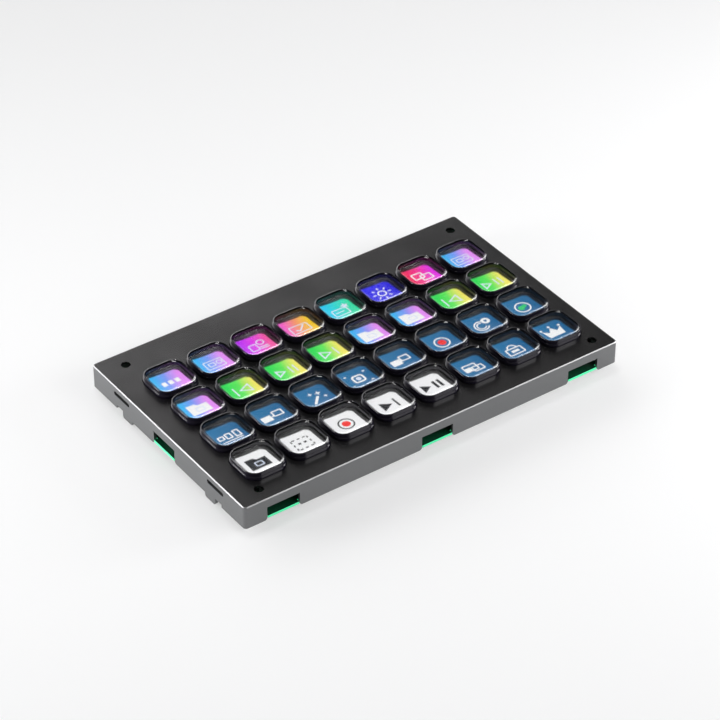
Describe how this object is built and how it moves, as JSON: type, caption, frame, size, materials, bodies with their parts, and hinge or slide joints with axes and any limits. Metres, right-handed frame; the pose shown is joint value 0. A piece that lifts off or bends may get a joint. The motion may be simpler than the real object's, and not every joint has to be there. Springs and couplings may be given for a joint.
{
  "type": "display keypad module",
  "caption": "Open-backed panel keypad: sprung clear-topped square keys over a tiled display, in a shallow metal frame with a green board behind.",
  "frame": {"origin": "middle of the frame's outline, on the plane of the four lugs that it stands on", "axes": "+X along the long side to the right, +Y to the back edge with the data socket, +Z out of the keys"},
  "size_m": [0.1692, 0.1026, 0.0142],
  "materials": {
    "frame_metal": "fine blasted aluminium, satin",
    "black_plate": "black anodised aluminium, satin",
    "key_cap": "glossy black moulding round a clear pane",
    "silicone": "dark grey silicone",
    "contact_film": "black printed film",
    "display": "display glass with lit tiles",
    "white_film": "white diffusing film",
    "clear_acrylic": "clear acrylic",
    "tray_metal": "zinc plated sheet",
    "lamp_strip": "white strip with small lamps",
    "amber_film": "amber flexible circuit",
    "black_moulding": "black moulded plastic",
    "screw_steel": "plated steel",
    "standoff_metal": "turned brass",
    "board": "green circuit board",
    "socket_steel": "bright stamped steel",
    "chip_black": "black epoxy",
    "coil_grey": "grey ferrite",
    "capacitor_tan": "tan ceramic with tinned ends",
    "white_moulding": "off-white moulded plastic"
  },
  "bodies": {
    "root": {"side_frame": "frame_metal", "face_plate": "black_plate", "dome_mat": "silicone", "contact_sheet": "contact_film", "display_glass": "display", "diffuser_sheet": "white_film", "light_guide": "clear_acrylic", "backlight_tray": "tray_metal", "led_strip": "lamp_strip", "display_flex": "amber_film", "display_frame": "black_moulding", "stiffener": "tray_metal", "stiffener_screws": "screw_steel", "standoffs": "standoff_metal", "main_board": "board", "board_screws": "screw_steel", "usb_shell": "socket_steel", "usb_tongue": "black_moulding", "main_chip": "chip_black", "memory_chip": "chip_black", "power_coil": "coil_grey", "crystal": "socket_steel", "capacitors": "capacitor_tan", "flex_socket": "white_moulding", "contact_socket": "white_moulding"},
    "key_r1_c1": {"key_r1_c1": "key_cap"},
    "key_r1_c2": {"key_r1_c2": "key_cap"},
    "key_r1_c3": {"key_r1_c3": "key_cap"},
    "key_r1_c4": {"key_r1_c4": "key_cap"},
    "key_r1_c5": {"key_r1_c5": "key_cap"},
    "key_r1_c6": {"key_r1_c6": "key_cap"},
    "key_r1_c7": {"key_r1_c7": "key_cap"},
    "key_r1_c8": {"key_r1_c8": "key_cap"},
    "key_r2_c1": {"key_r2_c1": "key_cap"},
    "key_r2_c2": {"key_r2_c2": "key_cap"},
    "key_r2_c3": {"key_r2_c3": "key_cap"},
    "key_r2_c4": {"key_r2_c4": "key_cap"},
    "key_r2_c5": {"key_r2_c5": "key_cap"},
    "key_r2_c6": {"key_r2_c6": "key_cap"},
    "key_r2_c7": {"key_r2_c7": "key_cap"},
    "key_r2_c8": {"key_r2_c8": "key_cap"},
    "key_r3_c1": {"key_r3_c1": "key_cap"},
    "key_r3_c2": {"key_r3_c2": "key_cap"},
    "key_r3_c3": {"key_r3_c3": "key_cap"},
    "key_r3_c4": {"key_r3_c4": "key_cap"},
    "key_r3_c5": {"key_r3_c5": "key_cap"},
    "key_r3_c6": {"key_r3_c6": "key_cap"},
    "key_r3_c7": {"key_r3_c7": "key_cap"},
    "key_r3_c8": {"key_r3_c8": "key_cap"},
    "key_r4_c1": {"key_r4_c1": "key_cap"},
    "key_r4_c2": {"key_r4_c2": "key_cap"},
    "key_r4_c3": {"key_r4_c3": "key_cap"},
    "key_r4_c4": {"key_r4_c4": "key_cap"},
    "key_r4_c5": {"key_r4_c5": "key_cap"},
    "key_r4_c6": {"key_r4_c6": "key_cap"},
    "key_r4_c7": {"key_r4_c7": "key_cap"},
    "key_r4_c8": {"key_r4_c8": "key_cap"}
  },
  "joints": [
    {"name": "key_r1_c1_press", "type": "slide", "parent": "root", "child": "key_r1_c1", "axis": [0, 0, -1], "range_m": [0, 0.0007], "stiffness_N_per_m": 400, "springref_m": -0.0008, "deforming": ["dome_mat"]},
    {"name": "key_r1_c2_press", "type": "slide", "parent": "root", "child": "key_r1_c2", "axis": [0, 0, -1], "range_m": [0, 0.0007], "stiffness_N_per_m": 400, "springref_m": -0.0008, "deforming": ["dome_mat"]},
    {"name": "key_r1_c3_press", "type": "slide", "parent": "root", "child": "key_r1_c3", "axis": [0, 0, -1], "range_m": [0, 0.0007], "stiffness_N_per_m": 400, "springref_m": -0.0008, "deforming": ["dome_mat"]},
    {"name": "key_r1_c4_press", "type": "slide", "parent": "root", "child": "key_r1_c4", "axis": [0, 0, -1], "range_m": [0, 0.0007], "stiffness_N_per_m": 400, "springref_m": -0.0008, "deforming": ["dome_mat"]},
    {"name": "key_r1_c5_press", "type": "slide", "parent": "root", "child": "key_r1_c5", "axis": [0, 0, -1], "range_m": [0, 0.0007], "stiffness_N_per_m": 400, "springref_m": -0.0008, "deforming": ["dome_mat"]},
    {"name": "key_r1_c6_press", "type": "slide", "parent": "root", "child": "key_r1_c6", "axis": [0, 0, -1], "range_m": [0, 0.0007], "stiffness_N_per_m": 400, "springref_m": -0.0008, "deforming": ["dome_mat"]},
    {"name": "key_r1_c7_press", "type": "slide", "parent": "root", "child": "key_r1_c7", "axis": [0, 0, -1], "range_m": [0, 0.0007], "stiffness_N_per_m": 400, "springref_m": -0.0008, "deforming": ["dome_mat"]},
    {"name": "key_r1_c8_press", "type": "slide", "parent": "root", "child": "key_r1_c8", "axis": [0, 0, -1], "range_m": [0, 0.0007], "stiffness_N_per_m": 400, "springref_m": -0.0008, "deforming": ["dome_mat"]},
    {"name": "key_r2_c1_press", "type": "slide", "parent": "root", "child": "key_r2_c1", "axis": [0, 0, -1], "range_m": [0, 0.0007], "stiffness_N_per_m": 400, "springref_m": -0.0008, "deforming": ["dome_mat"]},
    {"name": "key_r2_c2_press", "type": "slide", "parent": "root", "child": "key_r2_c2", "axis": [0, 0, -1], "range_m": [0, 0.0007], "stiffness_N_per_m": 400, "springref_m": -0.0008, "deforming": ["dome_mat"]},
    {"name": "key_r2_c3_press", "type": "slide", "parent": "root", "child": "key_r2_c3", "axis": [0, 0, -1], "range_m": [0, 0.0007], "stiffness_N_per_m": 400, "springref_m": -0.0008, "deforming": ["dome_mat"]},
    {"name": "key_r2_c4_press", "type": "slide", "parent": "root", "child": "key_r2_c4", "axis": [0, 0, -1], "range_m": [0, 0.0007], "stiffness_N_per_m": 400, "springref_m": -0.0008, "deforming": ["dome_mat"]},
    {"name": "key_r2_c5_press", "type": "slide", "parent": "root", "child": "key_r2_c5", "axis": [0, 0, -1], "range_m": [0, 0.0007], "stiffness_N_per_m": 400, "springref_m": -0.0008, "deforming": ["dome_mat"]},
    {"name": "key_r2_c6_press", "type": "slide", "parent": "root", "child": "key_r2_c6", "axis": [0, 0, -1], "range_m": [0, 0.0007], "stiffness_N_per_m": 400, "springref_m": -0.0008, "deforming": ["dome_mat"]},
    {"name": "key_r2_c7_press", "type": "slide", "parent": "root", "child": "key_r2_c7", "axis": [0, 0, -1], "range_m": [0, 0.0007], "stiffness_N_per_m": 400, "springref_m": -0.0008, "deforming": ["dome_mat"]},
    {"name": "key_r2_c8_press", "type": "slide", "parent": "root", "child": "key_r2_c8", "axis": [0, 0, -1], "range_m": [0, 0.0007], "stiffness_N_per_m": 400, "springref_m": -0.0008, "deforming": ["dome_mat"]},
    {"name": "key_r3_c1_press", "type": "slide", "parent": "root", "child": "key_r3_c1", "axis": [0, 0, -1], "range_m": [0, 0.0007], "stiffness_N_per_m": 400, "springref_m": -0.0008, "deforming": ["dome_mat"]},
    {"name": "key_r3_c2_press", "type": "slide", "parent": "root", "child": "key_r3_c2", "axis": [0, 0, -1], "range_m": [0, 0.0007], "stiffness_N_per_m": 400, "springref_m": -0.0008, "deforming": ["dome_mat"]},
    {"name": "key_r3_c3_press", "type": "slide", "parent": "root", "child": "key_r3_c3", "axis": [0, 0, -1], "range_m": [0, 0.0007], "stiffness_N_per_m": 400, "springref_m": -0.0008, "deforming": ["dome_mat"]},
    {"name": "key_r3_c4_press", "type": "slide", "parent": "root", "child": "key_r3_c4", "axis": [0, 0, -1], "range_m": [0, 0.0007], "stiffness_N_per_m": 400, "springref_m": -0.0008, "deforming": ["dome_mat"]},
    {"name": "key_r3_c5_press", "type": "slide", "parent": "root", "child": "key_r3_c5", "axis": [0, 0, -1], "range_m": [0, 0.0007], "stiffness_N_per_m": 400, "springref_m": -0.0008, "deforming": ["dome_mat"]},
    {"name": "key_r3_c6_press", "type": "slide", "parent": "root", "child": "key_r3_c6", "axis": [0, 0, -1], "range_m": [0, 0.0007], "stiffness_N_per_m": 400, "springref_m": -0.0008, "deforming": ["dome_mat"]},
    {"name": "key_r3_c7_press", "type": "slide", "parent": "root", "child": "key_r3_c7", "axis": [0, 0, -1], "range_m": [0, 0.0007], "stiffness_N_per_m": 400, "springref_m": -0.0008, "deforming": ["dome_mat"]},
    {"name": "key_r3_c8_press", "type": "slide", "parent": "root", "child": "key_r3_c8", "axis": [0, 0, -1], "range_m": [0, 0.0007], "stiffness_N_per_m": 400, "springref_m": -0.0008, "deforming": ["dome_mat"]},
    {"name": "key_r4_c1_press", "type": "slide", "parent": "root", "child": "key_r4_c1", "axis": [0, 0, -1], "range_m": [0, 0.0007], "stiffness_N_per_m": 400, "springref_m": -0.0008, "deforming": ["dome_mat"]},
    {"name": "key_r4_c2_press", "type": "slide", "parent": "root", "child": "key_r4_c2", "axis": [0, 0, -1], "range_m": [0, 0.0007], "stiffness_N_per_m": 400, "springref_m": -0.0008, "deforming": ["dome_mat"]},
    {"name": "key_r4_c3_press", "type": "slide", "parent": "root", "child": "key_r4_c3", "axis": [0, 0, -1], "range_m": [0, 0.0007], "stiffness_N_per_m": 400, "springref_m": -0.0008, "deforming": ["dome_mat"]},
    {"name": "key_r4_c4_press", "type": "slide", "parent": "root", "child": "key_r4_c4", "axis": [0, 0, -1], "range_m": [0, 0.0007], "stiffness_N_per_m": 400, "springref_m": -0.0008, "deforming": ["dome_mat"]},
    {"name": "key_r4_c5_press", "type": "slide", "parent": "root", "child": "key_r4_c5", "axis": [0, 0, -1], "range_m": [0, 0.0007], "stiffness_N_per_m": 400, "springref_m": -0.0008, "deforming": ["dome_mat"]},
    {"name": "key_r4_c6_press", "type": "slide", "parent": "root", "child": "key_r4_c6", "axis": [0, 0, -1], "range_m": [0, 0.0007], "stiffness_N_per_m": 400, "springref_m": -0.0008, "deforming": ["dome_mat"]},
    {"name": "key_r4_c7_press", "type": "slide", "parent": "root", "child": "key_r4_c7", "axis": [0, 0, -1], "range_m": [0, 0.0007], "stiffness_N_per_m": 400, "springref_m": -0.0008, "deforming": ["dome_mat"]},
    {"name": "key_r4_c8_press", "type": "slide", "parent": "root", "child": "key_r4_c8", "axis": [0, 0, -1], "range_m": [0, 0.0007], "stiffness_N_per_m": 400, "springref_m": -0.0008, "deforming": ["dome_mat"]}
  ]
}
